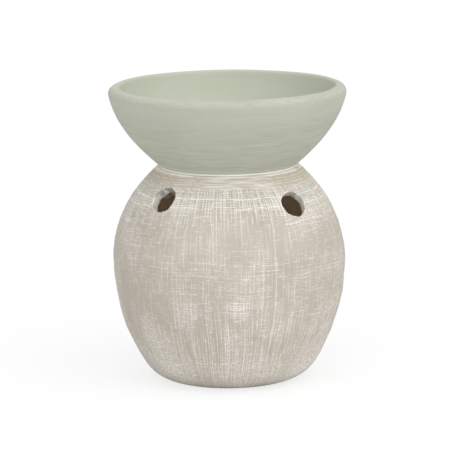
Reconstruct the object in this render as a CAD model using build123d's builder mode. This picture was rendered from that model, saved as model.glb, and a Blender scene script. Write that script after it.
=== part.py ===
from build123d import *

import os
from math import cos, radians, sin, tan

# The burner stands on Z = 0 with the Z axis up its middle.
# Its front, where two of the vents show, faces -Y, and the door for the tealight faces +Y.

# Body: a hollow ceramic shell, widest at the belly and drawn in to a neck
belly_radius = 50.0
belly_height = 52.3
belly_reach_up = 17.0
belly_reach_down = 15.6
neck_height = 92.1
neck_slope = 42.7
neck_reach = 15.2
foot_radius = 22.7
heel_round = 17.1
heel_slope = 57.7
heel_reach = 15.6
body_wall = 4.0
floor_height = 6.0
foot_recess_radius = 17.0
foot_recess_depth = 1.2

# Neck: a step inside the rim holds the foot of the bowl
rim_width = 2.3
rim_bevel = 0.6
seat_depth = 3.0
seat_width = 3.2
seat_clearance = 0.35
ledge_thickness = 3.6

# Vents: round holes above the belly, punched square to the skin but for one that swings to the front
vent_diameter = 11.6
vent_bevel = 0.8
vent_turns = [-44.6, 41.9, 137.0, -139.5]
vent_swings = [0.0, -19.0, 0.0, 0.0]
vent_height_shares = [0.722, 0.664, 0.711, 0.649]

# Door: an arch at the back, level with the floor inside
door_width = 50.0
door_height = 46.0
door_corner_round = 4.0
door_bevel = 1.0

# Bowl: a thick-lipped dish that lifts off the neck
bowl_foot_radius = 28.2
bowl_foot_slope = 39.2
bowl_foot_reach = 12.5
bowl_foot_ring = 6.2
bowl_foot_recess = 1.2
bowl_foot_bevel = 0.4
bowl_side_radius = 50.9
bowl_side_rise = 31.1
bowl_side_slope = 76.9
bowl_side_reach = 13.5
lip_setback = 3.2
lip_height = 4.0
lip_reach_out = 2.1
lip_reach_down_out = 2.1
lip_reach_in = 0.4
lip_reach_down_in = 1.1
basin_rim_wall = 4.8
basin_rim_drop = 1.0
basin_rim_slope = 73.9
basin_rim_reach = 21.5
basin_floor = 4.6
basin_floor_reach = 28.0

# Tealight: a thin metal cup of wax, and a wick crimped into a plate
cup_base_radius = 18.3
cup_top_radius = 18.8
cup_height = 16.0
cup_wall = 0.3
cup_base_bevel = 1.0
cup_hem = 0.9
wax_height = 12.4
wax_clearance = 0.15
wax_bevel = 0.6
sustainer_radius = 6.0
sustainer_thickness = 0.3
sustainer_collar_wall = 0.4
sustainer_collar_height = 3.2
sustainer_clearance = 0.1
wick_radius = 0.9
wick_clearance = 0.06
wick_free_length = 8.0
wick_tip_chamfer = 0.25

# How far a cutting shape runs past the face that it leaves
overrun = 3.0

# Places that follow from the sizes above
seat_radius = bowl_foot_radius + seat_clearance
neck_radius = seat_radius + rim_width
throat_radius = bowl_foot_radius - seat_width
seat_height = neck_height - seat_depth
ceiling_height = seat_height - ledge_thickness
door_spring_height = floor_height + door_height - door_width / 2
bowl_side_height = neck_height + bowl_side_rise
bowl_top = bowl_side_height + lip_height
basin_bottom = seat_height + basin_floor
cup_lean = (cup_top_radius - cup_base_radius) / cup_height
cup_top = floor_height + cup_height
wax_bottom = floor_height + cup_wall
wax_top = wax_bottom + wax_height
plate_top = wax_bottom + sustainer_thickness
collar_bore = wick_radius + wick_clearance
collar_radius = collar_bore + sustainer_collar_wall
wick_top = wax_top + wick_free_length


def along(slope, reach):
    """A step of this length, rising at this slope in degrees."""
    return Vector(reach * cos(radians(slope)), reach * sin(radians(slope)))


def outward(turn):
    """The level direction out from the axis, this many degrees round from the front."""
    return Vector(sin(radians(turn)), -cos(radians(turn)))


def vent_plane(skin, turn, swing, height_share):
    """A plane on the body's skin, this far up the curve from belly to neck, turned aside by the swing."""
    foot = skin @ height_share
    out = (skin % height_share).rotate(Axis.Z, -90)
    return Plane(
        origin=outward(turn) * foot.X + Vector(0, 0, foot.Y),
        z_dir=outward(turn + swing) * out.X + Vector(0, 0, out.Y),
    )


def round_reach(radius):
    """The reach that makes a curve follow a round of this radius through the heel's turn."""
    return 4 / 3 * radius * tan(radians(heel_slope) / 4)


def body_side(inset):
    """Points that steer the body's side curves, foot to heel to belly to neck, set in from the skin."""
    narrowing = (belly_radius - inset) / belly_radius
    foot = Vector(foot_radius, inset)
    heel = Vector(foot_radius, heel_round) + along(heel_slope - 90, heel_round - inset)
    belly = Vector(belly_radius - inset, belly_height)
    neck = Vector(neck_radius, neck_height) + along(270 - neck_slope, inset)
    heel_handle = round_reach(heel_round - inset)
    low = (foot, foot + along(0, heel_handle), heel - along(heel_slope, heel_handle), heel)
    middle = (
        heel,
        heel + along(heel_slope, heel_reach * narrowing),
        belly - along(90, belly_reach_down * narrowing),
        belly,
    )
    high = (
        belly,
        belly + along(90, belly_reach_up * narrowing),
        neck - along(180 - neck_slope, neck_reach * narrowing),
        neck,
    )
    return low, middle, high


with BuildPart() as burner_body:
    with BuildSketch(Plane.XZ):
        with BuildLine():
            low, middle, high = body_side(0)
            Bezier(*low)
            Bezier(*middle)
            skin = Bezier(*high)
            Polyline(high[-1], (0, neck_height), (0, 0), low[0])
        make_face()
    revolve(axis=Axis.Z)
    # The door, cut through the back from the middle, its outer edge bevelled
    with BuildSketch(Plane.XZ) as door:
        with BuildLine():
            left_spring = Vector(-door_width / 2, door_spring_height)
            right_spring = Vector(door_width / 2, door_spring_height)
            Polyline(
                left_spring,
                (-door_width / 2, floor_height),
                (door_width / 2, floor_height),
                right_spring,
            )
            TangentArc(right_spring, left_spring, tangent=(0, 1))
        make_face()
        fillet(door.vertices().group_by(Axis.Y)[0], radius=door_corner_round)
    extrude(amount=-(belly_radius + overrun), mode=Mode.SUBTRACT)
    door_edges = burner_body.edges(Select.LAST).filter_by(GeomType.LINE, reverse=True)
    chamfer(door_edges.filter_by_position(Axis.Y, body_wall, belly_radius), length=door_bevel)
    # The hollow keeps the wall's thickness from a level floor up to the ledge,
    # and opens through the throat into the step for the bowl's foot
    with BuildSketch(Plane.XZ):
        with BuildLine():
            low, middle, high = body_side(body_wall)
            Bezier(*low)
            Bezier(*middle)
            Bezier(*high)
            Polyline(high[-1], (0, high[-1].Y), (0, low[0].Y), low[0])
        make_face()
        with Locations((0, floor_height)):
            Rectangle(
                belly_radius,
                ceiling_height - floor_height,
                align=(Align.MIN, Align.MIN),
                mode=Mode.INTERSECT,
            )
            Rectangle(throat_radius, neck_height - floor_height, align=(Align.MIN, Align.MIN))
        with Locations((0, seat_height)):
            Rectangle(seat_radius, seat_depth, align=(Align.MIN, Align.MIN))
    revolve(axis=Axis.Z, mode=Mode.SUBTRACT)
    chamfer(burner_body.faces().sort_by(Axis.Z)[-1].edges(), length=rim_bevel)
    # The shallow recess inside the foot ring
    with BuildSketch(Plane.XY):
        Circle(foot_recess_radius)
    extrude(amount=foot_recess_depth, mode=Mode.SUBTRACT)
    # The vents, their mouths bevelled
    for turn, swing, height_share in zip(vent_turns, vent_swings, vent_height_shares):
        mouth = vent_plane(skin, turn, swing, height_share)
        with BuildSketch(mouth.offset(overrun)):
            Circle(vent_diameter / 2)
        extrude(amount=-(overrun + body_wall + overrun), mode=Mode.SUBTRACT)
        vent_edges = burner_body.edges(Select.LAST).filter_by(GeomType.LINE, reverse=True)
        out_of_wall = Axis(mouth.origin, mouth.z_dir)
        chamfer(vent_edges.sort_by(out_of_wall)[-1], length=vent_bevel)

with BuildPart() as oil_bowl:
    with BuildSketch(Plane.XZ) as bowl_half:
        with BuildLine():
            foot_top = Vector(bowl_foot_radius, neck_height)
            side = Vector(bowl_side_radius, bowl_side_height)
            lip = Vector(bowl_side_radius - lip_setback, bowl_top)
            basin_rim = Vector(bowl_side_radius - basin_rim_wall, bowl_top - basin_rim_drop)
            basin_centre = Vector(0, basin_bottom)
            Bezier(
                foot_top,
                foot_top + along(bowl_foot_slope, bowl_foot_reach),
                side - along(bowl_side_slope, bowl_side_reach),
                side,
            )
            Bezier(
                side,
                side + along(bowl_side_slope, lip_reach_down_out),
                lip + along(0, lip_reach_out),
                lip,
            )
            Bezier(
                lip,
                lip - along(0, lip_reach_in),
                basin_rim + along(basin_rim_slope, lip_reach_down_in),
                basin_rim,
            )
            Bezier(
                basin_rim,
                basin_rim - along(basin_rim_slope, basin_rim_reach),
                basin_centre + along(0, basin_floor_reach),
                basin_centre,
            )
            Polyline(
                basin_centre,
                (0, seat_height + bowl_foot_recess),
                (bowl_foot_radius - bowl_foot_ring, seat_height + bowl_foot_recess),
                (bowl_foot_radius - bowl_foot_ring, seat_height),
                (bowl_foot_radius, seat_height),
                foot_top,
            )
        make_face()
        chamfer(bowl_half.vertices().group_by(Axis.Y)[0], length=bowl_foot_bevel)
    revolve(axis=Axis.Z)

with BuildPart() as tealight_cup:
    with BuildSketch(Plane.XZ) as cup_half:
        with BuildLine():
            Polyline(
                (0, floor_height),
                (cup_base_radius, floor_height),
                (cup_top_radius, cup_top),
                (cup_top_radius - cup_wall, cup_top),
                (cup_base_radius - cup_wall, wax_bottom),
                (0, wax_bottom),
                close=True,
            )
        make_face()
        corners = cup_half.vertices().filter_by_position(Axis.X, cup_wall, cup_base_radius)
        outer_corner = corners.sort_by(Axis.Y)[0]
        inner_corner = corners.sort_by(Axis.Y)[-1]
        chamfer(outer_corner, length=cup_base_bevel)
        chamfer(inner_corner, length=cup_base_bevel - cup_wall)
        with Locations((cup_top_radius - cup_wall, cup_top)):
            Rectangle(cup_hem, cup_hem, align=(Align.MIN, Align.MAX))
    revolve(axis=Axis.Z)

with BuildPart() as wick_sustainer:
    with BuildSketch(Plane.XY.offset(wax_bottom)):
        Circle(sustainer_radius)
    extrude(amount=sustainer_thickness)
    with BuildSketch(Plane.XY.offset(plate_top)):
        Circle(collar_radius)
        Circle(collar_bore, mode=Mode.SUBTRACT)
    extrude(amount=sustainer_collar_height)

with BuildPart() as tealight_wax:
    with BuildSketch(Plane.XZ) as wax_half:
        with BuildLine():
            wax_foot_radius = cup_base_radius - cup_wall - wax_clearance
            wax_rim_radius = wax_foot_radius + cup_lean * wax_height
            Polyline(
                (0, wax_bottom),
                (wax_foot_radius, wax_bottom),
                (wax_rim_radius, wax_top),
                (0, wax_top),
                close=True,
            )
        make_face()
        wax_corners = wax_half.vertices().sort_by(Axis.X)[-2:].sort_by(Axis.Y)
        chamfer(wax_corners[0], length=cup_base_bevel)
        chamfer(wax_corners[-1], length=wax_bevel)
    revolve(axis=Axis.Z)
    with BuildSketch(Plane.XY.offset(wax_bottom)):
        Circle(sustainer_radius + sustainer_clearance)
    extrude(amount=sustainer_thickness + sustainer_clearance, mode=Mode.SUBTRACT)
    with BuildSketch(Plane.XY.offset(wax_bottom)):
        Circle(collar_radius + sustainer_clearance)
    extrude(amount=wax_height, mode=Mode.SUBTRACT)

with BuildPart() as tealight_wick:
    with BuildSketch(Plane.XY.offset(plate_top)):
        Circle(wick_radius)
    extrude(amount=wick_top - plate_top)
    chamfer(tealight_wick.faces().sort_by(Axis.Z)[-1].edges(), length=wick_tip_chamfer)

os.makedirs("parts", exist_ok=True)
pieces = {
    "burner_body": burner_body,
    "oil_bowl": oil_bowl,
    "tealight_cup": tealight_cup,
    "tealight_wax": tealight_wax,
    "tealight_wick": tealight_wick,
    "wick_sustainer": wick_sustainer,
}
for name, piece in pieces.items():
    piece.part.label = name
    export_step(piece.part, f"parts/{name}.step")
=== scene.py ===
from math import cos, pi, radians, sin, tan

import bpy
import numpy as np
from mathutils import Matrix, Vector


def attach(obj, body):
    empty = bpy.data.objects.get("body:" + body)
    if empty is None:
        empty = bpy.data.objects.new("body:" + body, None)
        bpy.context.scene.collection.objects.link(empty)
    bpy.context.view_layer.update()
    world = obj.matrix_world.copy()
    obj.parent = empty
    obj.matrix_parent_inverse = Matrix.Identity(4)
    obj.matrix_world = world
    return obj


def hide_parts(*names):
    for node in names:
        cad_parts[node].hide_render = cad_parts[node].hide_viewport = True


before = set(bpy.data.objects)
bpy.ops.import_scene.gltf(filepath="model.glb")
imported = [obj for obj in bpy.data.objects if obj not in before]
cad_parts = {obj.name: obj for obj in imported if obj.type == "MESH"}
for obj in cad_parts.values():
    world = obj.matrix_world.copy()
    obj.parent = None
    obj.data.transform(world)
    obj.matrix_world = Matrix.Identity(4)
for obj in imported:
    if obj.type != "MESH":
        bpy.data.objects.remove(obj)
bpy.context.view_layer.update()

MM = 0.001

# Sizes in millimetres and slopes in degrees, for most pieces the ones in the part's source

BELLY_RADIUS, BELLY_HEIGHT = 50.0, 52.3
BELLY_REACH_UP, BELLY_REACH_DOWN = 17.0, 15.6
NECK_RADIUS, NECK_HEIGHT, NECK_SLOPE, NECK_REACH = 30.85, 92.1, 42.7, 15.2
FOOT_RADIUS, HEEL_ROUND, HEEL_SLOPE, HEEL_REACH = 22.7, 17.1, 57.7, 15.6
BODY_WALL, FLOOR_HEIGHT = 4.0, 6.0
RECESS_RADIUS, RECESS_DEPTH = 17.0, 1.2
SEAT_RADIUS, SEAT_HEIGHT, THROAT_RADIUS, CEILING_HEIGHT = 28.55, 89.1, 25.0, 85.5

# Each vent: degrees round from the front, degrees of swing to the side, height of its middle
VENT_RADIUS = 5.8
FRONT_VENTS = [(-44.6, 0.0, 82.8), (41.9, -19.0, 80.67)]
REAR_VENTS = [(137.0, 0.0, 82.4), (-139.5, 0.0, 80.1)]
# How far a vent is out of round: waves round its edge, and their height as a share of its radius
VENT_LOBES = [(2, 0.018), (3, 0.012), (5, 0.008), (7, 0.014), (12, 0.012)]
VENT_EDGE_POINTS, VENT_SEED = 72, 40
VENT_ROUNDING = 0.7
VENT_INNER_END, VENT_OUTER_END, VENT_SKIN_BOUNDS = -9.0, 5.0, (-4.0, 3.0)

DOOR_WIDTH, DOOR_HEIGHT, DOOR_CORNER, DOOR_ROUNDING = 50.0, 46.0, 4.0, 1.2
# The door is cut a hair above the floor, so that the two flat faces never coincide
DOOR_LIFT = 0.03
DOOR_ARCH_POINTS, DOOR_CORNER_POINTS, DOOR_EDGE_POINTS = 60, 7, 240
DOOR_INNER_END, DOOR_OUTER_END, DOOR_SKIN_BOUNDS = 8.0, 58.0, (12.0, 58.0)

BOWL_FOOT_RADIUS, BOWL_FOOT_SLOPE, BOWL_FOOT_REACH = 28.2, 39.2, 12.5
BOWL_FOOT_RING, BOWL_FOOT_RECESS = 6.2, 1.2
BOWL_SIDE_RADIUS, BOWL_SIDE_RISE, BOWL_SIDE_SLOPE, BOWL_SIDE_REACH = 50.9, 31.1, 76.9, 13.5
BOWL_TOP, LIP_RADIUS = 127.2, 47.7
LIP_REACH_OUT, LIP_REACH_DOWN, LIP_REACH_IN = 2.1, 2.1, 0.4
BASIN_RIM_RADIUS, BASIN_RIM_RISE, BASIN_RIM_SLOPE = 46.1, 34.1, 73.9
BASIN_RIM_REACH_UP, BASIN_RIM_REACH_DOWN = 1.1, 21.5
BASIN_BOTTOM, BASIN_FLOOR_REACH = 93.7, 28.0
# A bead of glaze fills the corner over the body's rim, which is the pale line round the neck
BEAD_RADIUS, BEAD_BOTTOM, BEAD_SLANT = 29.15, 92.22, 0.08

CUP_BASE_RADIUS, CUP_TOP_RADIUS, CUP_HEIGHT, CUP_WALL = 18.3, 18.8, 16.0, 0.3
# The bead is rolled outwards, and wraps on under the wall by this angle in radians
CUP_BEAD, CUP_BEAD_WRAP, CUP_BEAD_POINTS, CUP_SIDE_END = 0.45, 0.4, 24, 0.4
# The base is pressed up in the middle: radius of the flat, of the foot of the slope, and height
DIMPLE_RADIUS, DIMPLE_FOOT_RADIUS, DIMPLE_RISE = 9.0, 10.0, 0.5
DIMPLE_FLAT_RADIUS, DIMPLE_METAL = 9.6, 0.1
FLUTE_COUNT, FLUTE_DEPTH = 40, 0.05
FLUTE_RADIUS, FLUTE_RADIUS_FADE, FLUTE_TOP, FLUTE_TOP_FADE = 17.4, 0.5, 20.6, 1.5

WAX_BOTTOM, WAX_TOP, WAX_RADIUS, WAX_FLARE = 6.3, 18.7, 17.85, 0.38
WAX_DISH, WAX_DIP, WAX_DIP_WIDTH, WAX_SURFACE_POINTS = 0.25, 0.5, 1.6, 30
PLATE_TOP, PLATE_SPACE_RADIUS, COLLAR_HOLE = 6.6, 6.1, 1.46
WAX_OVER_PLATE, WELL_OVER_PLATE = 0.2, 1

WICK_TOP, WICK_LEAN = 26.7, 0.9
STRAND_COUNT, STRAND_RADIUS, STRAND_SIDES, STRAND_STEPS = 3, 0.44, 10, 90
# Radians of twist for each millimetre, and how much thinner the last steps of a strand get
STRAND_TWIST, FRAY_SHARE, FRAY_STEPS = 1.6, 0.35, 6

# How finely the meshes are made
TURN_COUNT, CUP_TURN_COUNT, WAX_TURN_COUNT = 384, 160, 128
CURVE_POINTS, LIP_POINTS, CORNER_POINTS = 400, 120, 6
SKIN_HALVINGS = 40

# A cutter's mouth widens past its rounding by this skirt, which stands this far above the skin
CUTTER_SKIRT, CUTTER_LIFT = 0.5, 0.04

# Bumps: height, size, seed, and the share of that size's waves round the axis, few for rings
BODY_BUMPS = [(0.22, 26, 5, 1), (0.08, 9, 6, 1), (0.05, 3.2, 7, 0.12)]
BOWL_BUMPS = [(0.08, 34, 15, 1), (0.03, 11, 16, 1), (0.03, 2.6, 17, 0.1)]
LIP_BUMPS, WAX_BUMPS = [(0.07, 40, 18, 1)], [(0.1, 7, 31, 1)]
# What is taken off the bumps, and the lowest and the highest that they may then be
BODY_LIMITS, BOWL_LIMITS = (0.25, -0.9, 0.1), (0.15, -0.4, 0)
LIP_LIMITS = WAX_LIMITS = (0.1, -0.3, 0)
# How far the bumps take to fade out: into the wall, and towards the foot, the neck and the axis
WALL_FADE, FOOT_FADE, NECK_FADE = 1.6, 6, 3
BOWL_FOOT_CLEAR, BOWL_FOOT_FADE, BOWL_AXIS_FADE, LIP_FADE = 1, 6, 20, 4
WAX_BUMP_REACH, WAX_BUMP_FADE = 2, 1.5
# How far outside the vents' edges the look of their walls reaches, in front, where it is partly
# painted light, and behind, where it is painted shade
FRONT_VENT_REACH, REAR_VENT_REACH = 0.5, 0.3


# Outlines: points in the half plane of radius and height

def along(slope, reach):
    return np.array([reach * cos(radians(slope)), reach * sin(radians(slope))])


def curve(a, b, c, d, count=CURVE_POINTS):
    t = np.linspace(0, 1, count)[:, None]
    return (1 - t) ** 3 * a + 3 * (1 - t) ** 2 * t * b + 3 * (1 - t) * t**2 * c + t**3 * d


def lengths(points):
    steps = np.linalg.norm(np.diff(points, axis=0), axis=1)
    return np.concatenate([[0], np.cumsum(steps)])


def at_lengths(points, wanted):
    run = lengths(points)
    return np.stack([np.interp(wanted, run, column) for column in points.T], axis=1)


def joined(parts):
    """One outline from rows of points, spacing, and rounding of the corner after them."""
    rounds = [part[2] for part in parts]
    starts = [0] + rounds[:-1]
    out = []
    for index, (points, spacing, round_after) in enumerate(parts):
        total = lengths(points)[-1]
        first, last = starts[index], total - round_after
        count = max(1, int(np.ceil((last - first) / spacing)))
        sampled = at_lengths(points, np.linspace(first, last, count + 1))
        out.append(sampled if not out or starts[index] else sampled[1:])
        if round_after:
            following = parts[index + 1][0]
            corner = points[-1]
            begin = sampled[-1]
            end = at_lengths(following, np.array([round_after]))[0]
            t = np.linspace(0, 1, CORNER_POINTS)[1:-1, None]
            out.append((1 - t) ** 2 * begin + 2 * (1 - t) * t * corner + t**2 * end)
    return np.concatenate(out)


def straight(start, rows):
    """Rows for joined, of straight runs from the start to each radius and height in turn."""
    out = []
    for radius, height, spacing, round_after in rows:
        out.append((np.array([start, (radius, height)], float), spacing, round_after))
        start = (radius, height)
    return out


def body_side(inset):
    """The body's side from its foot to its neck, this far inside the skin."""
    narrowing = (BELLY_RADIUS - inset) / BELLY_RADIUS
    foot = np.array([FOOT_RADIUS, inset])
    heel = np.array([FOOT_RADIUS, HEEL_ROUND]) + along(HEEL_SLOPE - 90, HEEL_ROUND - inset)
    belly = np.array([BELLY_RADIUS - inset, BELLY_HEIGHT])
    neck = np.array([NECK_RADIUS, NECK_HEIGHT]) + along(270 - NECK_SLOPE, inset)
    handle = 4 / 3 * (HEEL_ROUND - inset) * tan(radians(HEEL_SLOPE) / 4)
    low = curve(foot, foot + along(0, handle), heel - along(HEEL_SLOPE, handle), heel)
    middle = curve(
        heel, heel + along(HEEL_SLOPE, HEEL_REACH * narrowing),
        belly - along(90, BELLY_REACH_DOWN * narrowing), belly,
    )
    high = curve(
        belly, belly + along(90, BELLY_REACH_UP * narrowing),
        neck - along(180 - NECK_SLOPE, NECK_REACH * narrowing), neck,
    )
    return np.concatenate([low, middle[1:], high[1:]])


SKIN = body_side(0)
INNER_SIDE = body_side(BODY_WALL)


def skin_radius(height):
    return np.interp(height, SKIN[:, 1], SKIN[:, 0])


def inner_radius(height):
    return np.interp(height, INNER_SIDE[:, 1], INNER_SIDE[:, 0])


# Meshes

def linked(name, data):
    made = bpy.data.objects.new(name, data)
    bpy.context.scene.collection.objects.link(made)
    return made


def mesh_object(name, points, faces, scale=MM):
    mesh = bpy.data.meshes.new(name)
    mesh.from_pydata((np.asarray(points) * scale).tolist(), [], faces)
    mesh.validate()
    return linked(name, mesh)


def bands(count, rings, first=0):
    """Faces between rings of this many points each, from the ring whose points start here."""
    faces = []
    for low in range(first, first + (rings - 1) * count, count):
        for a in range(count):
            b = (a + 1) % count
            faces.append((low + a, low + b, low + count + b, low + count + a))
    return faces


def turned(name, outline, count=TURN_COUNT):
    """A closed solid of revolution from an outline that starts and ends on the axis."""
    angles = np.arange(count) * 2 * pi / count
    east, north = np.cos(angles), np.sin(angles)
    points = [np.array([[0, 0, outline[0][1]]])]
    for radius, height in outline[1:-1]:
        points.append(np.stack([radius * east, radius * north, np.full(count, height)], axis=1))
    points.append(np.array([[0, 0, outline[-1][1]]]))
    rings = len(outline) - 2
    last = 1 + (rings - 1) * count
    faces = [(0, 1 + (a + 1) % count, 1 + a) for a in range(count)]
    faces += bands(count, rings, 1)
    faces += [(last + a, last + (a + 1) % count, last + count) for a in range(count)]
    return mesh_object(name, np.concatenate(points), faces)


def remember(made, name, values):
    """Keeps a number for each point of the mesh, which its material reads under this name."""
    attribute = made.data.attributes.new(name, "FLOAT", "POINT")
    attribute.data.foreach_set("value", np.ascontiguousarray(values, np.float32))


def coordinates(made):
    """The mesh's points in millimetres."""
    points = np.empty(len(made.data.vertices) * 3)
    made.data.vertices.foreach_get("co", points)
    return points.reshape(-1, 3) / MM


def move_points(made, points):
    made.data.vertices.foreach_set("co", (points * MM).ravel())
    made.data.update()


def smooth(made, sharp_angle=50):
    made.data.shade_smooth()
    made.data.set_sharp_from_angle(angle=radians(sharp_angle))


def radii_and_ways_out(points):
    """How far each point is from the axis, and its level direction away from it."""
    radius = np.hypot(points[:, 0], points[:, 1])
    return radius, points * [1, 1, 0] / np.maximum(radius, 1)[:, None]


def unit(rows):
    return rows / np.linalg.norm(rows, axis=1)[:, None]


def waves(points, size, seed, count=28):
    """Smooth seeded bumps between about -1 and 1, this many millimetres across."""
    random = np.random.default_rng(seed)
    directions = unit(random.normal(size=(count, 3)))
    pitches = 2 * pi / (np.asarray(size) * random.uniform(0.8, 2.2, (count, 1)))
    phases = random.uniform(0, 2 * pi, count)
    return np.sin(points @ (directions * pitches).T + phases).sum(axis=1) / np.sqrt(count)


def bumps(points, rows, limits):
    total = 0
    for height, size, seed, squeeze in rows:
        total = total + height * waves(points * [squeeze, squeeze, 1], size, seed)
    sink, lowest, highest = limits
    return np.clip(total - sink, lowest, highest)


def on_skin(starts, direction, low, high):
    """How far along the direction from each start the skin lies, between the two bounds."""
    low = np.full(len(starts), float(low))
    high = np.full(len(starts), float(high))
    for _ in range(SKIN_HALVINGS):
        middle = (low + high) / 2
        tried = starts + middle[:, None] * direction
        outside = np.hypot(tried[:, 0], tried[:, 1]) > skin_radius(tried[:, 2])
        high = np.where(outside, middle, high)
        low = np.where(outside, low, middle)
    return (low + high) / 2


def mouth_cutter(name, edge, axes, origin, rounding, inner_end, outer_end, skin_bounds):
    """A cutter with this edge, its mouth rounded over where it leaves the skin.

    The edge runs counter-clockwise, seen from outside. The axes are across, up and out. Both ends
    and the skin's bounds are distances out from the origin.
    """
    across, up, out = axes
    run = unit(np.roll(edge, -1, axis=0) - np.roll(edge, 1, axis=0))
    skirt = rounding + CUTTER_SKIRT
    turns = np.radians(np.linspace(0, 90, CORNER_POINTS))
    rings = [(skirt, CUTTER_LIFT)]
    rings += [(rounding * (1 - sin(t)), rounding * (cos(t) - 1)) for t in turns]
    starts = origin + edge[:, :1] * across + edge[:, 1:] * up
    sideways = run[:, 1:] * across - run[:, :1] * up
    points = [starts + skirt * sideways + outer_end * out]
    for offset, rise in rings:
        moved = starts + offset * sideways
        points.append(moved + (on_skin(moved, out, *skin_bounds) + rise)[:, None] * out)
    points.append(starts + inner_end * out)
    count = len(edge)
    faces = [tuple(range(count))]
    faces += [(a, d, c, b) for a, b, c, d in bands(count, len(points))]
    faces.append(tuple(range((len(points) - 1) * count, len(points) * count))[::-1])
    return mesh_object(name, np.concatenate(points), faces)


def cut(made, cutters):
    for cutter in cutters:
        boolean = made.modifiers.new("cut", "BOOLEAN")
        boolean.operation = "DIFFERENCE"
        boolean.solver = "MANIFOLD"
        boolean.object = cutter
        depsgraph = bpy.context.evaluated_depsgraph_get()
        result = bpy.data.meshes.new_from_object(made.evaluated_get(depsgraph))
        made.modifiers.clear()
        made.data = result
        bpy.data.objects.remove(cutter)


# The body

def body_outline():
    ceiling_edge = (inner_radius(CEILING_HEIGHT), CEILING_HEIGHT)
    floor_edge = (inner_radius(FLOOR_HEIGHT), FLOOR_HEIGHT)
    inner = INNER_SIDE[::-1]
    inner = inner[(inner[:, 1] < CEILING_HEIGHT) & (inner[:, 1] > FLOOR_HEIGHT)]
    inner = np.concatenate([[ceiling_edge], inner, [floor_edge]])
    return joined([
        *straight((0, RECESS_DEPTH), [
            (RECESS_RADIUS, RECESS_DEPTH, 4, 0.4),
            (RECESS_RADIUS, 0, 1, 0.3),
            (FOOT_RADIUS, 0, 2, 0),
        ]),
        (SKIN, 0.7, 0.7),
        *straight((NECK_RADIUS, NECK_HEIGHT), [
            (SEAT_RADIUS, NECK_HEIGHT, 0.8, 0.3),
            (SEAT_RADIUS, SEAT_HEIGHT, 1.5, 0.5),
            (THROAT_RADIUS, SEAT_HEIGHT, 1.5, 0.5),
            (THROAT_RADIUS, CEILING_HEIGHT, 1.5, 0.5),
            (*ceiling_edge, 2.5, 1.5),
        ]),
        (inner, 3.0, 1.5),
        *straight(floor_edge, [(0, FLOOR_HEIGHT, 4, 0)]),
    ])


def door_cutter():
    half = DOOR_WIDTH / 2
    bottom = FLOOR_HEIGHT + DOOR_LIFT
    spring = FLOOR_HEIGHT + DOOR_HEIGHT - half
    arch_turns = np.linspace(0, pi, DOOR_ARCH_POINTS)
    corner_turns = np.linspace(0, pi / 2, DOOR_CORNER_POINTS)
    corner = DOOR_CORNER
    arch = [(half * cos(a), spring + half * sin(a)) for a in arch_turns]
    left = [
        (-half + corner - corner * cos(a), bottom + corner - corner * sin(a))
        for a in corner_turns
    ]
    right = [
        (half - corner + corner * sin(a), bottom + corner - corner * cos(a))
        for a in corner_turns
    ]
    loop = np.array(arch + left + right + [arch[0]])
    edge = at_lengths(loop, np.linspace(0, lengths(loop)[-1], DOOR_EDGE_POINTS + 1)[:-1])
    axes = (np.array([-1.0, 0, 0]), np.array([0, 0, 1.0]), np.array([0, 1.0, 0]))
    return mouth_cutter(
        "door", edge, axes, np.zeros(3),
        DOOR_ROUNDING, DOOR_INNER_END, DOOR_OUTER_END, DOOR_SKIN_BOUNDS,
    )


def outward(turn):
    """The level direction out from the axis, this many degrees round from the front."""
    return np.array([sin(radians(turn)), -cos(radians(turn)), 0])


def vent_mouth(turn, swing, height):
    """The middle of a vent on the skin, and the direction that the vent faces."""
    spot = np.argmin(abs(SKIN[:, 1] - height))
    run = SKIN[spot + 1] - SKIN[spot - 1]
    run /= np.linalg.norm(run)
    origin = outward(turn) * SKIN[spot, 0] + np.array([0, 0, SKIN[spot, 1]])
    return origin, outward(turn + swing) * run[1] + np.array([0, 0, -run[0]])


def vent_cutters():
    cutters = []
    angles = np.arange(VENT_EDGE_POINTS) * 2 * pi / VENT_EDGE_POINTS
    for index, vent in enumerate(FRONT_VENTS + REAR_VENTS):
        random = np.random.default_rng(VENT_SEED + index)
        origin, out = vent_mouth(*vent)
        across = np.cross([0, 0, 1.0], out)
        across /= np.linalg.norm(across)
        up = np.cross(out, across)
        shape = 1
        for count, share in VENT_LOBES:
            shape = shape + share * np.sin(count * angles + random.uniform(0, 6))
        radii = VENT_RADIUS * shape
        edge = np.stack([radii * np.cos(angles), radii * np.sin(angles)], axis=1)
        cutters.append(
            mouth_cutter(
                f"vent_{index}", edge, (across, up, out), origin,
                VENT_ROUNDING, VENT_INNER_END, VENT_OUTER_END, VENT_SKIN_BOUNDS,
            )
        )
    return cutters


def vent_nearness(points, vents, reach, fade=0.4, depth=8):
    """1 in these vents, fading to 0 this far outside their edges, and 0 deeper than this."""
    nearness = np.zeros(len(points))
    for vent in vents:
        origin, out = vent_mouth(*vent)
        away = points - origin
        aside = np.linalg.norm(away - np.outer(away @ out, out), axis=1)
        here = np.clip((VENT_RADIUS + reach - aside) / fade, 0, 1)
        nearness = np.maximum(nearness, np.where(abs(away @ out) < depth, here, 0))
    return nearness


def patches(points, places, steepness=1.25):
    """How far each point lies in any of these patches, from 0 to their strength."""
    turns = np.degrees(np.arctan2(points[:, 0], -points[:, 1]))
    out = np.zeros(len(points))
    for turn, height, half_turn, half_height, strength in places:
        aside = (turns - turn + 180) % 360 - 180
        reach = np.hypot(aside / half_turn, (points[:, 2] - height) / half_height)
        out = 1 - (1 - out) * (1 - strength * np.clip(steepness * (1 - reach), 0, 1))
    return out


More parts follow.
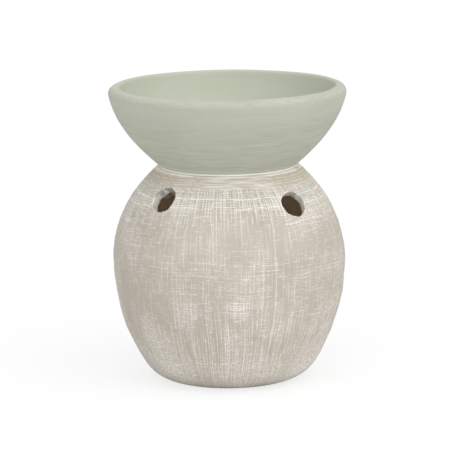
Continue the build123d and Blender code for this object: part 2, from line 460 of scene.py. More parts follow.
# Where the white has caught, where the brush hardly touched, and where it went over twice:
# degrees round from the front, height, half the width in degrees, half the height, strength
CHALKY_PATCHES = [
    # The first patch, on the right of the shoulder, is partly real white and partly a painted
    # highlight
    (38, 75, 24, 10, 0.2),
    (-1, 22, 7, 16, 0.5),
    (-20, 38, 12, 9, 0.32),
    (-50, 18, 28, 20, 0.34),
    (64, 22, 24, 22, 0.5),
    (22, 10, 18, 9, 0.12),
    (-30, 9, 34, 10, 0.3),
    (58, 9, 20, 10, 0.5),
    (-70, 66, 22, 18, 0.25),
    (-85, 34, 18, 24, 0.3),
    (80, 42, 20, 18, 0.35),
    (128, 60, 30, 20, 0.4),
    (-125, 34, 28, 22, 0.4),
    (170, 72, 26, 12, 0.4),
]
CALM_PATCHES = [
    (-58, 48, 40, 26, 0.5),
    (34, 64.5, 34, 7, 0.75),
    (0, 72, 46, 9, 0.9),
    (-8, 63.5, 32, 7, 0.65),
    (-64, 86.5, 26, 7, 1),
    (44, 87, 18, 6, 1),
    (66, 62, 28, 12, 0.25),
    (100, 66, 26, 12, 0.6),
    (-150, 62, 26, 14, 0.6),
]
HATCHED_PATCHES = [(4.3, 38.6, 6.5, 6.5, 1)]


def make_body():
    body = turned("clay_body", body_outline())
    cut(body, [door_cutter()] + vent_cutters())
    points = coordinates(body)
    height = points[:, 2]
    radius, away = radii_and_ways_out(points)
    depth = np.clip(skin_radius(height) - radius, 0, None)
    near_skin = np.clip(1 - depth / WALL_FADE, 0, 1) * np.clip(height / FOOT_FADE, 0, 1)
    near_skin *= np.clip((NECK_HEIGHT - height) / NECK_FADE, 0, 1)
    shift = near_skin * bumps(points, BODY_BUMPS, BODY_LIMITS)
    move_points(body, points + away * shift[:, None])
    inside = np.clip(1 - (radius - inner_radius(height)) / BODY_WALL, 0, 1)
    remember(body, "climb", np.interp(height, SKIN[:, 1], lengths(SKIN)))
    remember(body, "inside", inside)
    remember(body, "mouth", vent_nearness(points, FRONT_VENTS, FRONT_VENT_REACH))
    remember(body, "rear_vent_shade", vent_nearness(points, REAR_VENTS, REAR_VENT_REACH))
    remember(body, "chalky", patches(points, CHALKY_PATCHES))
    remember(body, "calm", patches(points, CALM_PATCHES))
    remember(body, "hatched", patches(points, HATCHED_PATCHES))
    smooth(body)
    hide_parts("burner_body")
    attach(body, "body")
    return body


# The bowl

def bowl_outline():
    foot_top = np.array([BOWL_FOOT_RADIUS, NECK_HEIGHT])
    side = np.array([BOWL_SIDE_RADIUS, NECK_HEIGHT + BOWL_SIDE_RISE])
    lip = np.array([LIP_RADIUS, BOWL_TOP])
    basin_rim = np.array([BASIN_RIM_RADIUS, NECK_HEIGHT + BASIN_RIM_RISE])
    basin_centre = np.array([0, BASIN_BOTTOM])
    outer = curve(
        foot_top, foot_top + along(BOWL_FOOT_SLOPE, BOWL_FOOT_REACH),
        side - along(BOWL_SIDE_SLOPE, BOWL_SIDE_REACH), side,
    )
    over = curve(
        side, side + along(BOWL_SIDE_SLOPE, LIP_REACH_DOWN),
        lip + along(0, LIP_REACH_OUT), lip, LIP_POINTS,
    )
    into = curve(
        lip, lip - along(0, LIP_REACH_IN),
        basin_rim + along(BASIN_RIM_SLOPE, BASIN_RIM_REACH_UP), basin_rim, LIP_POINTS,
    )
    basin = curve(
        basin_rim, basin_rim - along(BASIN_RIM_SLOPE, BASIN_RIM_REACH_DOWN),
        basin_centre + along(0, BASIN_FLOOR_REACH), basin_centre,
    )
    over_bead = outer[outer[:, 0] > BEAD_RADIUS]
    ring = BOWL_FOOT_RADIUS - BOWL_FOOT_RING
    recess = SEAT_HEIGHT + BOWL_FOOT_RECESS
    return joined([
        *straight((0, recess), [
            (ring, recess, 5, 0.4),
            (ring, SEAT_HEIGHT, 1, 0.4),
            (BOWL_FOOT_RADIUS, SEAT_HEIGHT, 1.5, 0.5),
            (BOWL_FOOT_RADIUS, BEAD_BOTTOM, 1.0, 0.2),
            (BEAD_RADIUS - BEAD_SLANT, BEAD_BOTTOM, 0.3, 0.12),
            (*over_bead[0], 0.2, 0.08),
        ]),
        (over_bead, 0.7, 0),
        (np.concatenate([over, into[1:]]), 0.5, 0),
        (basin, 0.9, 0),
    ])


def make_bowl():
    outline = bowl_outline()
    bowl = turned("sage_bowl", outline)
    points = coordinates(bowl)
    height = points[:, 2]
    radius, away = radii_and_ways_out(points)
    run = lengths(outline)
    over_lip = run - run[np.argmax(outline[:, 1])]
    over_lip = np.concatenate([over_lip[:1], np.repeat(over_lip[1:-1], TURN_COUNT), over_lip[-1:]])
    above_foot = np.clip((height - NECK_HEIGHT - BOWL_FOOT_CLEAR) / BOWL_FOOT_FADE, 0, 1)
    off_axis = np.clip(radius / BOWL_AXIS_FADE, 0, 1)
    shift = above_foot * bumps(points, BOWL_BUMPS, BOWL_LIMITS)
    # The lip sags a little here and there
    near_top = np.clip((height - BOWL_TOP + LIP_FADE) / LIP_FADE, 0, 1) ** 2
    sag = near_top * bumps(points * [1, 1, 0], LIP_BUMPS, LIP_LIMITS)
    points = points + away * (shift * off_axis)[:, None]
    points[:, 2] += sag
    move_points(bowl, points)
    remember(bowl, "over_lip", over_lip)
    smooth(bowl)
    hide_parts("oil_bowl")
    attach(bowl, "bowl")
    return bowl


# The tealight

def make_cup():
    """A fluted foil cup with a rolled bead round its top and its base pressed up in the middle."""
    bead_height = FLOOR_HEIGHT + CUP_HEIGHT - CUP_BEAD
    bead_radius = CUP_TOP_RADIUS - CUP_WALL + CUP_BEAD
    dimple_height = FLOOR_HEIGHT + DIMPLE_RISE
    outer = joined(straight((0, dimple_height), [
        (DIMPLE_RADIUS, dimple_height, 3, 0.6),
        (DIMPLE_FOOT_RADIUS, FLOOR_HEIGHT, 0.5, 0.3),
        (CUP_BASE_RADIUS, FLOOR_HEIGHT, 2, 1.0),
        (CUP_TOP_RADIUS, bead_height - CUP_SIDE_END, 0.8, 0),
    ]))
    # The dimple stays under the wax, with this much metal left
    pressed = outer[:, 0] < DIMPLE_FLAT_RADIUS
    outer[pressed, 1] = np.minimum(outer[pressed, 1], WAX_BOTTOM - DIMPLE_METAL)
    bead = np.array([
        (bead_radius - CUP_BEAD * cos(a), bead_height + CUP_BEAD * sin(a))
        for a in np.linspace(-pi / 2 - CUP_BEAD_WRAP, pi, CUP_BEAD_POINTS)
    ])
    inner = joined(straight((CUP_TOP_RADIUS - CUP_WALL, bead_height), [
        (CUP_BASE_RADIUS - CUP_WALL, WAX_BOTTOM, 1.2, 0.7),
        (0, WAX_BOTTOM, 3, 0),
    ]))
    cup = turned("tealight_foil_cup", np.concatenate([outer, bead, inner]), CUP_TURN_COUNT)
    points = coordinates(cup)
    radius, away = radii_and_ways_out(points)
    angle = np.arctan2(points[:, 1], points[:, 0])
    on_side = np.clip((radius - FLUTE_RADIUS) / FLUTE_RADIUS_FADE, 0, 1)
    on_side *= np.clip((FLUTE_TOP - points[:, 2]) / FLUTE_TOP_FADE, 0, 1)
    flutes = FLUTE_DEPTH * (np.cos(FLUTE_COUNT * angle) - 1) * on_side
    move_points(cup, points + away * flutes[:, None])
    smooth(cup)
    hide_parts("tealight_cup")
    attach(cup, "tealight")
    return cup


def make_wax():
    """The wax, dished, dipping towards a well for the wick, and hollow over the plate below."""
    top_radius = WAX_RADIUS + WAX_FLARE
    over_plate = PLATE_TOP + WAX_OVER_PLATE
    well_bottom = PLATE_TOP + WELL_OVER_PLATE
    radius = np.linspace(top_radius, COLLAR_HOLE, WAX_SURFACE_POINTS)
    dish = WAX_DISH * (1 - (radius / top_radius) ** 2)
    dip = WAX_DIP * np.exp(-(((radius - COLLAR_HOLE) / WAX_DIP_WIDTH) ** 2))
    surface = np.stack([radius, WAX_TOP - dish - dip], axis=1)
    outline = joined([
        *straight((0, over_plate), [
            (COLLAR_HOLE, over_plate, 1, 0),
            (PLATE_SPACE_RADIUS, over_plate, 2, 0),
            (PLATE_SPACE_RADIUS, WAX_BOTTOM, 0.3, 0),
            (WAX_RADIUS, WAX_BOTTOM, 2, 0.9),
            (top_radius, WAX_TOP, 2, 0.8),
        ]),
        (surface, 0.5, 0.3),
        *straight(surface[-1], [(COLLAR_HOLE, well_bottom, 2, 0), (0, well_bottom, 1, 0)]),
    ])
    wax = turned("tealight_wax_fill", outline, WAX_TURN_COUNT)
    points = coordinates(wax)
    near_top = np.clip((points[:, 2] - WAX_TOP + WAX_BUMP_REACH) / WAX_BUMP_FADE, 0, 1)
    points[:, 2] += near_top * bumps(points, WAX_BUMPS, WAX_LIMITS)
    move_points(wax, points)
    smooth(wax)
    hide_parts("tealight_wax")
    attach(wax, "tealight")
    return wax


def make_wick():
    """Three waxed strands laid round each other, leaning a little above the wax."""
    heights = np.linspace(PLATE_TOP, WICK_TOP, STRAND_STEPS)
    lean = WICK_LEAN * (np.clip((heights - WAX_TOP) / (WICK_TOP - WAX_TOP), 0, 1)) ** 2
    angles = np.arange(STRAND_SIDES) * 2 * pi / STRAND_SIDES
    points, faces = [], []
    for strand in range(STRAND_COUNT):
        turn = strand * 2 * pi / STRAND_COUNT + STRAND_TWIST * (heights - PLATE_TOP)
        centre = np.stack(
            [STRAND_RADIUS * np.cos(turn) + lean, STRAND_RADIUS * np.sin(turn), heights], axis=1
        )
        forward = unit(np.gradient(centre, axis=0))
        side = unit(np.cross(forward, [0, 0, 1.0]))
        other = np.cross(forward, side)
        start = len(points) * STRAND_SIDES
        for step in range(STRAND_STEPS):
            frayed = max(0, (step - STRAND_STEPS + FRAY_STEPS) / FRAY_STEPS)
            radius = STRAND_RADIUS * (1 - FRAY_SHARE * frayed)
            points.append(centre[step] + radius * (
                np.cos(angles)[:, None] * side[step] + np.sin(angles)[:, None] * other[step]
            ))
        faces += bands(STRAND_SIDES, STRAND_STEPS, start)
        faces.append(tuple(range(start, start + STRAND_SIDES))[::-1])
        end = start + (STRAND_STEPS - 1) * STRAND_SIDES
        faces.append(tuple(range(end, end + STRAND_SIDES)))
    cloud = np.concatenate(points)
    cloud[:, 2] = np.clip(cloud[:, 2], PLATE_TOP, WICK_TOP)
    wick = mesh_object("tealight_braided_wick", cloud, faces)
    smooth(wick)
    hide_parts("tealight_wick")
    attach(wick, "tealight")
    return wick


# Materials

def linear(r, g, b):
    """A colour given in 0 to 255 screen values, in linear light."""
    out = []
    for value in (r, g, b):
        v = value / 255
        out.append(v / 12.92 if v <= 0.04045 else ((v + 0.055) / 1.055) ** 2.4)
    return (*out, 1.0)


# The clay, the white brushed over it, which on the walls of the front vents is also painted light,
# and the pale line round the neck, brightened as painted light against the shade in the crease
# under the bowl
CLAY_DARK = linear(180, 172, 161)
CLAY_LIGHT = linear(189, 181, 170)
CLAY_DEEP = linear(166, 157, 145)
NECK_TAN = linear(190, 179, 160)
CREAM = linear(236, 233, 225)
CHALK_AND_PAINTED_LIGHT = linear(238, 237, 233)
SEAM_AND_PAINTED_LIGHT = linear(252, 250, 243)
# Clay with nothing on it, as inside the body, and a darker painted shade for the walls of the rear
# vents
BARE_DARK = linear(204, 184, 160)
BARE_LIGHT = linear(214, 195, 173)
BARE_PAINTED_SHADE = linear(130, 112, 94)
# The glaze, with a worn colour that also serves as painted light on the lip, below it and near the
# foot
SAGE = linear(171, 174, 159)
SAGE_LIGHT = linear(179, 181, 167)
SAGE_DEEP = linear(161, 164, 149)
SAGE_WORN_AND_PAINTED_LIGHT = linear(196, 199, 185)
SAGE_SHADE = linear(148, 151, 137)
SAGE_STAIN = linear(140, 146, 132)
SAGE_BASIN = linear(180, 184, 168)
SAGE_BASIN_LIGHT = linear(188, 191, 176)
# The tealight
FOIL_DARK, FOIL_LIGHT = linear(205, 206, 208), linear(226, 227, 229)
TIN_DARK, TIN_LIGHT = linear(168, 169, 170), linear(192, 193, 194)
WAX_DARK, WAX_LIGHT = linear(236, 233, 224), linear(245, 243, 237)
COTTON_DARK, COTTON_LIGHT = linear(214, 207, 190), linear(238, 234, 222)

# The heights on the burner where something starts and where it is in full
SHOULDER = (66.0, 84.0)
LOW = (40.0, 22.0)
FOOT = (22.0, 8.0)
NECK = (87.8, 88.5)
# The rim and the pale bead below carry the pale line round the neck, painted brighter as painted
# light against the shade in the crease under the bowl
RIM = (91.6, 91.9)
RUN_GLAZE = (81.0, 85.0)
# Over these heights painted light lifts the shaded lower wall of the bowl
FOOT_PAINTED_LIGHT = (96.0, 93.1)
PALE_BEAD = (93.1, 92.9)
BARE_FOOT = (92.2, 92.0)
# The belt of strokes round the belly: its height, and how far from that it starts and is in full
BELT_HEIGHT, BELT = 54.5, (12.0, 7.0)


class Value:
    """A number in a material. Sums and products of values add the nodes that work them out."""

    def __init__(self, look, socket):
        self.look = look
        self.socket = socket

    def __add__(self, other):
        return self.look.math("ADD", self, other)

    def __sub__(self, other):
        return self.look.math("SUBTRACT", self, other)

    def __rsub__(self, other):
        return self.look.math("SUBTRACT", other, self)

    def __mul__(self, other):
        return self.look.math("MULTIPLY", self, other)

    def __truediv__(self, other):
        return self.look.math("DIVIDE", self, other)

    __radd__ = __add__
    __rmul__ = __mul__


class Look:
    """A material under construction, with its colour so far and what its patterns follow."""

    def __init__(self, name, colour):
        self.colour = colour
        self.material = bpy.data.materials.new(name)
        self.material.use_nodes = True
        self.tree = self.material.node_tree
        self.shader = self.tree.nodes["Principled BSDF"]
        self.place = self.node("TexCoord").outputs["Object"]
        split = self.node("SeparateXYZ", self.place).outputs
        self.x, self.y, self.z = (Value(self, output) for output in split)
        radius = self.math("SQRT", self.x * self.x + self.y * self.y)
        radius = self.math("MAXIMUM", radius, 0.0001)
        self.east, self.north = self.x / radius, self.y / radius
        # In millimetres
        self.height = self.z * 1000.0
        # Radians round from the front, with the jump at the back
        self.angle = self.math("ARCTAN2", self.east, self.north * -1.0)

    def feed(self, socket, value):
        if isinstance(value, Value):
            value = value.socket
        if isinstance(value, bpy.types.NodeSocket):
            self.tree.links.new(value, socket)
        else:
            socket.default_value = value

    def node(self, kind, *values):
        node = self.tree.nodes.new("ShaderNode" + kind)
        for socket, value in zip(node.inputs, values):
            self.feed(socket, value)
        return node

    def math(self, operation, *values):
        node = self.node("Math", *values)
        node.operation = operation
        return Value(self, node.outputs[0])

    def highest(self, first, second):
        return self.math("MAXIMUM", first, second)

    def absolute(self, value):
        return self.math("ABSOLUTE", value)

    def over(self, first, second):
        """Two coverings from 0 to 1 laid over each other."""
        return first + second - first * second

    def remembered(self, name):
        """The numbers that the mesh keeps under this name."""
        node = self.node("Attribute")
        node.attribute_name = name
        return Value(self, node.outputs["Fac"])

    def vector(self, x, y, z):
        return self.node("CombineXYZ", x, y, z).outputs[0]

    def noise(self, scale, detail=2.0, rough=0.5, vector=None):
        """Noise by the place on the part, or by the vector if there is one."""
        node = self.node("TexNoise", self.place if vector is None else vector)
        node.inputs["Scale"].default_value = scale
        node.inputs["Detail"].default_value = detail
        node.inputs["Roughness"].default_value = rough
        return Value(self, node.outputs["Fac"])

    def smear(self, height, round_scale, height_scale, shift, detail=1.0):
        """Noise stretched round the axis or up it, by the two scales."""
        vector = self.vector(
            self.east * round_scale + shift,
            self.north * round_scale + shift,
            height * height_scale,
        )
        return self.noise(1.0, detail, vector=vector)

    def chance(self, value):
        """A number from 0 to 1 that is its own for each value."""
        node = self.node("TexWhiteNoise")
        node.noise_dimensions = "1D"
        self.feed(node.inputs["W"], value)
        return Value(self, node.outputs["Value"])

    def ramp(self, value, low, high, start=0.0, end=1.0):
        """From start to end as the value goes from low to high, with soft ends."""
        node = self.node("MapRange", value, low, high, start, end)
        node.interpolation_type = "SMOOTHSTEP"
        return Value(self, node.outputs[0])

    def mix(self, share, first, second):
        """The first colour, with this share of the second."""
        node = self.node("Mix", share)
        node.data_type = "RGBA"
        self.feed(node.inputs[6], first)
        self.feed(node.inputs[7], second)
        return node.outputs[2]

    def coat(self, share, colour):
        """Lays this share of a colour over the material."""
        self.colour = self.mix(share, self.colour, colour)

    def bump(self, height, strength, distance):
        node = self.node("Bump", strength, distance)
        self.feed(node.inputs["Height"], height)
        return node.outputs[0]

    def finish(self, roughness, normal, **others):
        self.feed(self.shader.inputs["Base Color"], self.colour)
        self.feed(self.shader.inputs["Roughness"], roughness)
        self.feed(self.shader.inputs["Normal"], normal)
        for name, value in others.items():
            self.feed(self.shader.inputs[name.replace("_", " ")], value)
        return self.material


def strokes(look, count, along, half_width, cover, seed, wrap=None):
    """Thin parallel strokes, one in each unit of count, from 0 to 1.

    Each has its own place in its unit, weight and breaks. The half width is a share of the unit,
    and the cover is how much of their length shows, 0 to 1. Where the count comes round again,
    wrap is the number of strokes.
    """
    index = look.math("FLOOR", count)
    within = count - index
    if wrap:
        index = look.math("FLOORED_MODULO", index, wrap)
    aside = look.absolute(within - 0.5 - (look.chance(index + seed) - 0.5) * 0.56)
    line = look.ramp(aside, half_width, half_width * 0.35)
    here = look.vector(along[0], along[1], index * 7.31 + seed)
    shows = look.noise(1.0, 1.0, vector=here)
    shows = look.ramp(shows + cover * 0.34, 0.62, 0.74)
    return line * shows * (look.chance(index + seed + 0.37) * 0.65 + 0.35)


def strokes_round(look, level, pitch, length, half_width, cover, seed):
    """Strokes round the belly, one in each pitch of the level, in millimetres."""
    along = (look.east * (BELLY_RADIUS / length), look.north * (BELLY_RADIUS / length))
    return strokes(look, level / pitch, along, half_width, cover, seed)


# Long single strokes up the body: degrees round from the front, lower end, upper end
LONG_STROKES = [
    (-24.5, 58.0, 75.0),
    (-22.0, 17.0, 31.0),
    (-13.0, 20.0, 46.0),
    (-9.6, 58.0, 76.0),
    (-8.0, 62.0, 87.0),
    (5.5, 66.0, 87.0),
    (7.8, 9.0, 29.0),
    (16.6, 30.0, 62.0),
    (22.8, 18.0, 77.0),
    (26.5, 14.0, 30.0),
]
# All are turned by this, and their half width, from edge to core, is worked out at this radius
LONG_STROKE_TURN, LONG_STROKE_RADIUS, LONG_STROKE_WIDTH = 0.4, 42.0, (0.3, 0.12)


def clay_material():
    look = Look("clay_dry_brushed", CLAY_DARK)
    climb, inside, mouth = (look.remembered(name) for name in ("climb", "inside", "mouth"))
    cloud = look.noise(30.0)
    region = look.noise(62.0)
    grain = look.noise(1500.0, 2.0, 0.6)
    wander = look.noise(20.0, 1.0)
    sway = look.noise(90.0, 1.0)

    # Where the brush was dry, loaded or not at work
    shoulder = look.ramp(look.height, *SHOULDER)
    low = look.ramp(look.height, *LOW)
    belt = look.ramp(look.absolute(look.height - BELT_HEIGHT), *BELT)
    neck = look.ramp(look.height + sway * 0.8, *NECK)
    chalky, calm, hatched = (look.remembered(name) for name in ("chalky", "calm", "hatched"))
    busy = look.ramp(region, 0.36, 0.66, -0.1, 0.12)

    # Strokes up the body are counted round it, and strokes round it by the climb of its side
    angle = look.angle + (wander - 0.5) * 0.16
    level = climb + (wander - 0.5) * 7.0 + (sway - 0.5) * 1.2
    caught = chalky * 0.4 + hatched * 0.8
    up_cover = 0.46 + shoulder * 0.26 + low * 0.26 + busy - calm * 0.2 + caught
    round_cover = 0.34 + shoulder * 0.34 + belt * 0.1 - low * 0.24 + busy - calm * 0.46 + caught

    def up(count, length, half_width, cover, seed):
        counted = angle * (count / (2 * pi))
        return strokes(look, counted, (climb / length, 0.0), half_width, cover, seed, count)

    up_lines = look.over(
        up(count=164, length=14.0, half_width=0.12, cover=up_cover, seed=11.0),
        up(count=246, length=9.0, half_width=0.18, cover=up_cover, seed=53.0),
    )
    up_lines = look.over(
        up_lines,
        up(count=46, length=30.0, half_width=0.04, cover=up_cover - 0.15, seed=29.0) * 0.7,
    )
    round_lines = look.over(
        strokes_round(look, level, 1.62, 4.2, half_width=0.14, cover=round_cover, seed=71.0),
        strokes_round(look, level, 1.12, 3.4, half_width=0.19, cover=round_cover, seed=97.0),
    )
    round_lines = look.over(
        round_lines,
        strokes_round(look, level, 6.0, 13.0, half_width=0.05, cover=round_cover - 0.1, seed=83.0)
        * 0.8,
    )
    # A dry brush skips over the grain of the clay
    dry = look.ramp(grain, 0.38, 0.6, shoulder * 0.35 + 0.4, 1.0)
    round_lines = round_lines * dry
    up_lines = up_lines * dry
    for turn, bottom, top in LONG_STROKES:
        aside = look.absolute(angle - radians(turn + LONG_STROKE_TURN)) * LONG_STROKE_RADIUS
        line = look.ramp(aside, *LONG_STROKE_WIDTH)
        line = line * look.ramp(look.height, bottom - 3, bottom + 3)
        line = line * look.ramp(look.height, top + 2, top - 2)
        up_lines = look.highest(up_lines, line * look.ramp(grain, 0.3, 0.6, 0.4, 0.75))
    up_lines = up_lines * (1.0 - neck)

    # A chalky haze that the grain has held on to
    foot = look.ramp(look.height, *FOOT)
    haze = look.ramp(region * 0.5 + chalky * 0.34 + shoulder * 0.04 + foot * 0.18, 0.16, 0.8)
    haze = haze * look.ramp(grain, 0.42, 0.58, 0.1, 1.0)
    haze = haze * (1.0 - neck * 0.8)

    # The neck is wiped round only, in front and at the back, with cream over a warmer tan
    neck_streaks = look.ramp(look.smear(level, 3.2, 1.5, 4.0, 2.0), 0.42, 0.62)
    front_turn = look.angle + (region - 0.5) * 1.2
    front = look.ramp(front_turn, -0.8, 0.25, 0.05, 1.0)
    front = front * look.ramp(front_turn, 0.42, 0.7, 1.0, 0.1)
    back = look.ramp(look.absolute(look.angle), 1.9, 2.8, 0.0, 0.7)
    neck_streaks = neck_streaks * look.highest(front, back)

    # The clay, darker along a faint grain in both directions
    weave = look.smear(climb, 62.0, 0.12, 7.0) + look.smear(level, 4.5, 1.9, 19.0)
    look.coat(look.ramp(cloud, 0.3, 0.7), CLAY_LIGHT)
    deep = look.ramp(weave, 1.2, 0.75, 0.0, 0.3) + low * 0.3 + shoulder * 0.3
    look.coat(deep, CLAY_DEEP)
    look.coat(neck * 0.75, NECK_TAN)

    # The white over it
    strength = shoulder * 0.46 + low * 0.14 + caught * 0.7 - calm * 0.12 + 0.58
    white = look.over(up_lines * strength, round_lines * (strength - neck * 0.3))
    white = look.over(white, shoulder * 0.08)
    white = look.over(white, neck * neck_streaks * 0.66)
    look.coat(white, CREAM)
    look.coat(haze * 0.6, CHALK_AND_PAINTED_LIGHT)

    # The rim, painted brighter as painted light against the shade under the bowl; the walls of the
    # front vents, pale and partly painted light against the shade in the holes; the glaze that has
    # run on to their upper edges; and painted shade in the walls of the rear vents
    rim = look.ramp(look.height, *RIM) * look.ramp(sway, 0.4, 0.55, 0.5, 1.0)
    smudges = look.noise(330.0, 1.0)
    # Partly painted light: the front vents' walls are whitened against the shade in the holes
    look.coat(mouth * look.ramp(smudges, 0.36, 0.6, 0.9, 0.4), CHALK_AND_PAINTED_LIGHT)
    look.coat(rim, SEAM_AND_PAINTED_LIGHT)
    stain = mouth * look.ramp(look.height, *RUN_GLAZE) * look.ramp(smudges, 0.48, 0.58) * 0.8
    look.coat(stain, SAGE_STAIN)
    look.coat(look.ramp(inside, 0.8, 0.98), look.mix(region, BARE_DARK, BARE_LIGHT))
    # Painted shade: the walls of the rear vents are darkened
    look.coat(look.remembered("rear_vent_shade"), BARE_PAINTED_SHADE)

    # The relief leaves the strokes out: Cycles works a bump's height out three times over, and
    # can't hold this material with them in it
    relief = weave * 0.6 + grain * 0.4
    normal = look.bump(relief, strength=0.22, distance=0.0001)
    roughness = look.ramp(white, 0.0, 1.0, 0.93, 0.82)
    return look.finish(roughness, normal, Specular_IOR_Level=0.3)


def sage_material():
    """The glaze. Over the lip, the distance is 0 at its top and negative on the wall outside."""
    look = Look("sage_matt", SAGE_BASIN)
    over_lip = look.remembered("over_lip")
    cloud = look.noise(32.0, 3.0)
    grain = look.noise(2400.0, 2.0, 0.6)
    wander = look.noise(22.0, 1.0)
    level = over_lip + (wander - 0.5) * 2.4

    # The wall outside keeps its turning marks, and the basin is wiped smooth
    outside = look.ramp(over_lip, 1.5, -2.5)
    marked = outside * look.ramp(over_lip, -11.0, -26.0, 0.3, 1.0)
    broad = look.smear(level, 2.4, 0.45, 9.0, 2.0)
    busy = look.ramp(look.noise(45.0, 1.0), 0.36, 0.64, -0.2, 0.25)
    light_marks = look.over(
        strokes_round(look, level, 0.9, 14.0, 0.26, cover=marked * 0.5 + busy, seed=7.0),
        strokes_round(look, level, 2.1, 22.0, 0.13, cover=marked * 0.5, seed=19.0),
    )
    dark_marks = look.over(
        strokes_round(look, level, 0.8, 12.0, 0.28, cover=marked * 0.42 + busy, seed=37.0),
        strokes_round(look, level, 2.6, 20.0, 0.12, cover=marked * 0.5, seed=43.0),
    )
    light_marks = light_marks * marked
    dark_marks = dark_marks * marked
    look.coat(cloud, SAGE_BASIN_LIGHT)
    look.coat(outside, look.mix(cloud, SAGE, SAGE_LIGHT))
    look.coat(look.ramp(broad, 0.42, 0.62, 0.0, 0.25) * outside, SAGE_DEEP)
    look.coat(light_marks * 0.5, SAGE_WORN_AND_PAINTED_LIGHT)
    look.coat(dark_marks * 0.5, SAGE_SHADE)

    # A band round the lip, partly worn glaze and partly a painted highlight, a fainter painted
    # highlight below it, and a few nicks
    lip = look.ramp(look.absolute(over_lip + 2.2), 3.4, 0.8)
    below_lip = look.ramp(over_lip, -17.0, -9.0) * look.ramp(over_lip, -3.0, -7.0)
    look.coat(below_lip * 0.2, SAGE_WORN_AND_PAINTED_LIGHT)
    look.coat(lip * look.ramp(broad, 0.35, 0.65, 0.1, 0.5), SAGE_WORN_AND_PAINTED_LIGHT)
    nicks = look.smear(level, 13.0, 1.9, 23.0, 2.0)
    nicks = look.ramp(nicks, 0.62, 0.67) * look.ramp(look.absolute(over_lip + 3.2), 2.4, 1.2)
    look.coat(nicks * 0.6, SAGE_SHADE)

    # Lower down, painted light lifts the shaded wall, the pale bead over the seat is painted
    # brighter against the shade in the crease, and the foot in the seat is bare
    look.coat(look.ramp(look.height, *FOOT_PAINTED_LIGHT) * outside * 0.6, SAGE_WORN_AND_PAINTED_LIGHT)
    look.coat(look.ramp(look.height, *PALE_BEAD) * outside, SEAM_AND_PAINTED_LIGHT)
    bare = look.ramp(look.height, *BARE_FOOT) * outside
    look.coat(bare, look.mix(cloud, BARE_DARK, BARE_LIGHT))

    relief = light_marks - dark_marks - nicks + grain * 0.3
    normal = look.bump(relief, strength=0.2, distance=0.00012)
    roughness = look.ramp(grain, 0.3, 0.7, 0.78, 0.9)
    return look.finish(roughness, normal, Specular_IOR_Level=0.3)


def foil_material():
    look = Look("foil_bright", FOIL_DARK)
    drawn = look.smear(look.height, 40.0, 0.4, 2.0)
    dull = look.noise(220.0, 3.0, 0.6)
    look.coat(dull, FOIL_LIGHT)
    roughness = look.ramp(dull, 0.3, 0.7, 0.26, 0.4)
    normal = look.bump(drawn, strength=0.25, distance=0.00008)
    return look.finish(roughness, normal, Metallic=1.0)


def tin_material():
    look = Look("tin_plate", TIN_DARK)
    dull = look.noise(500.0, 3.0, 0.6)
    look.coat(dull, TIN_LIGHT)
    roughness = look.ramp(dull, 0.3, 0.7, 0.32, 0.5)
    normal = look.bump(dull, strength=0.2, distance=0.00006)
    return look.finish(roughness, normal, Metallic=1.0)


def wax_material():
    look = Look("wax_white", WAX_DARK)
    mottle = look.noise(260.0, 3.0, 0.6)
    bubbles = look.noise(900.0, 1.0)
    look.coat(mottle, WAX_LIGHT)
    roughness = look.ramp(mottle, 0.3, 0.7, 0.42, 0.55)
    normal = look.bump(mottle + bubbles * 0.3, strength=0.3, distance=0.0002)
    return look.finish(roughness, normal, Subsurface_Weight=0.25, Subsurface_Scale=0.002)


def cotton_material():
    look = Look("cotton_waxed", COTTON_DARK)
    fibres = look.noise(5200.0, 2.0, 0.6, look.vector(look.x, look.y, look.z * 0.25))
    look.coat(fibres, COTTON_LIGHT)
    roughness = look.ramp(fibres, 0.3, 0.7, 0.6, 0.8)
    normal = look.bump(fibres, strength=0.5, distance=0.00012)
    return look.finish(roughness, normal)


def wear(made, material):
    made.data.materials.clear()
    made.data.materials.append(material)


# The stage, the light and the camera, in metres

# Half the floor's width, how far it lies under the part, and how white it is
FLOOR_REACH, FLOOR_DROP, FLOOR_WHITE = 8, 0.0001, 0.93
# How much of the shadow is faded where it is seen, and how strong the white room is as a light
SHADOW_FADED, ROOM_STRENGTH = 0.78, 0.7
SUN_STRENGTH, SUN_ANGLE, SUN_AZIMUTH, SUN_ELEVATION = 1.75, 80, 25, 52
# The photo's view, worked out from its outline: where the camera stands and looks, in metres and
# radians, and the focal length, the width and the middle of the frame in pixels
VIEW_DISTANCE, VIEW_ELEVATION, VIEW_ROLL, VIEW_HEIGHT = 1.5, 0.1823, 0.0133, 0.063
FOCAL_PIXELS, FRAME_PIXELS, CENTRE_X, CENTRE_Y = 3489.36, 450, 229.09, 232.45
SENSOR_MM = 36.0


def seen_directly(tree, share):
    """The share where the camera, a mirror or a glass sees the surface, and 0 elsewhere."""
    path = tree.nodes.new("ShaderNodeLightPath")
    seen = path.outputs["Is Camera Ray"]
    for name in ("Is Glossy Ray", "Is Transmission Ray"):
        either = tree.nodes.new("ShaderNodeMath")
        either.operation = "MAXIMUM"
        tree.links.new(seen, either.inputs[0])
        tree.links.new(path.outputs[name], either.inputs[1])
        seen = either.outputs[0]
    part = tree.nodes.new("ShaderNodeMath")
    part.operation = "MULTIPLY"
    tree.links.new(seen, part.inputs[0])
    part.inputs[1].default_value = share
    return part.outputs[0]


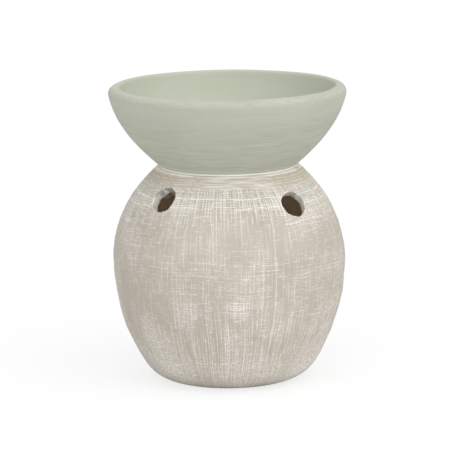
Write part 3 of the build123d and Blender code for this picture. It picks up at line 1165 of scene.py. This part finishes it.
def make_stage(faded):
    """A white floor, whose shadows are faded by this share where they are seen."""
    sides = [(-1, -1), (1, -1), (1, 1), (-1, 1)]
    corners = [(x * FLOOR_REACH, y * FLOOR_REACH, -FLOOR_DROP) for x, y in sides]
    floor = mesh_object("floor", corners, [(0, 1, 2, 3)], scale=1)
    paint = bpy.data.materials.new("floor_white")
    paint.use_nodes = True
    tree = paint.node_tree
    shader = tree.nodes["Principled BSDF"]
    shader.inputs["Base Color"].default_value = (FLOOR_WHITE, FLOOR_WHITE, FLOOR_WHITE, 1)
    shader.inputs["Roughness"].default_value = 0.9
    shader.inputs["Specular IOR Level"].default_value = 0.0
    white = tree.nodes.new("ShaderNodeEmission")
    blend = tree.nodes.new("ShaderNodeMixShader")
    tree.links.new(seen_directly(tree, faded), blend.inputs[0])
    tree.links.new(shader.outputs[0], blend.inputs[1])
    tree.links.new(white.outputs[0], blend.inputs[2])
    tree.links.new(blend.outputs[0], tree.nodes["Material Output"].inputs["Surface"])
    wear(floor, paint)


def make_world(strength):
    """White all round, at this strength as a light and at 1 where it is seen."""
    world = bpy.data.worlds.new("white_room")
    bpy.context.scene.world = world
    world.use_nodes = True
    tree = world.node_tree
    background = tree.nodes["Background"]
    level = tree.nodes.new("ShaderNodeMath")
    level.operation = "ADD"
    tree.links.new(seen_directly(tree, 1.0 - strength), level.inputs[0])
    level.inputs[1].default_value = strength
    background.inputs["Color"].default_value = (1, 1, 1, 1)
    tree.links.new(level.outputs[0], background.inputs["Strength"])


def add_sun(name, strength, angle, azimuth, elevation):
    """A soft lamp at infinity. Azimuth 0 stands behind the camera and 90 to the right."""
    data = bpy.data.lights.new(name, "SUN")
    data.energy = strength
    data.angle = radians(angle)
    lamp = linked(name, data)
    a, e = radians(azimuth), radians(elevation)
    source = Vector((sin(a) * cos(e), -cos(a) * cos(e), sin(e)))
    lamp.rotation_mode = "QUATERNION"
    lamp.rotation_quaternion = source.to_track_quat("Z", "Y")


def add_camera():
    data = bpy.data.cameras.new("photo_view")
    data.sensor_width = SENSOR_MM
    data.lens = SENSOR_MM * FOCAL_PIXELS / FRAME_PIXELS
    data.shift_x = (FRAME_PIXELS / 2 - CENTRE_X) / FRAME_PIXELS
    data.shift_y = (CENTRE_Y - FRAME_PIXELS / 2) / FRAME_PIXELS
    data.clip_start, data.clip_end = 0.05, 50
    camera = linked("photo_view", data)
    target = Vector((0, 0, VIEW_HEIGHT))
    back, rise = VIEW_DISTANCE * cos(VIEW_ELEVATION), VIEW_DISTANCE * sin(VIEW_ELEVATION)
    camera.location = target + Vector((0, -back, rise))
    facing = (target - camera.location).to_track_quat("-Z", "Y").to_matrix()
    camera.rotation_mode = "QUATERNION"
    camera.rotation_quaternion = (facing @ Matrix.Rotation(-VIEW_ROLL, 3, "Z")).to_quaternion()
    bpy.context.scene.camera = camera


wear(make_body(), clay_material())
wear(make_bowl(), sage_material())
wear(make_cup(), foil_material())
wear(make_wax(), wax_material())
wear(make_wick(), cotton_material())
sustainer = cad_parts["wick_sustainer"]
wear(sustainer, tin_material())

make_stage(SHADOW_FADED)
make_world(ROOM_STRENGTH)
add_sun("key", SUN_STRENGTH, SUN_ANGLE, SUN_AZIMUTH, SUN_ELEVATION)
add_camera()
bpy.context.scene.view_settings.view_transform = "Standard"
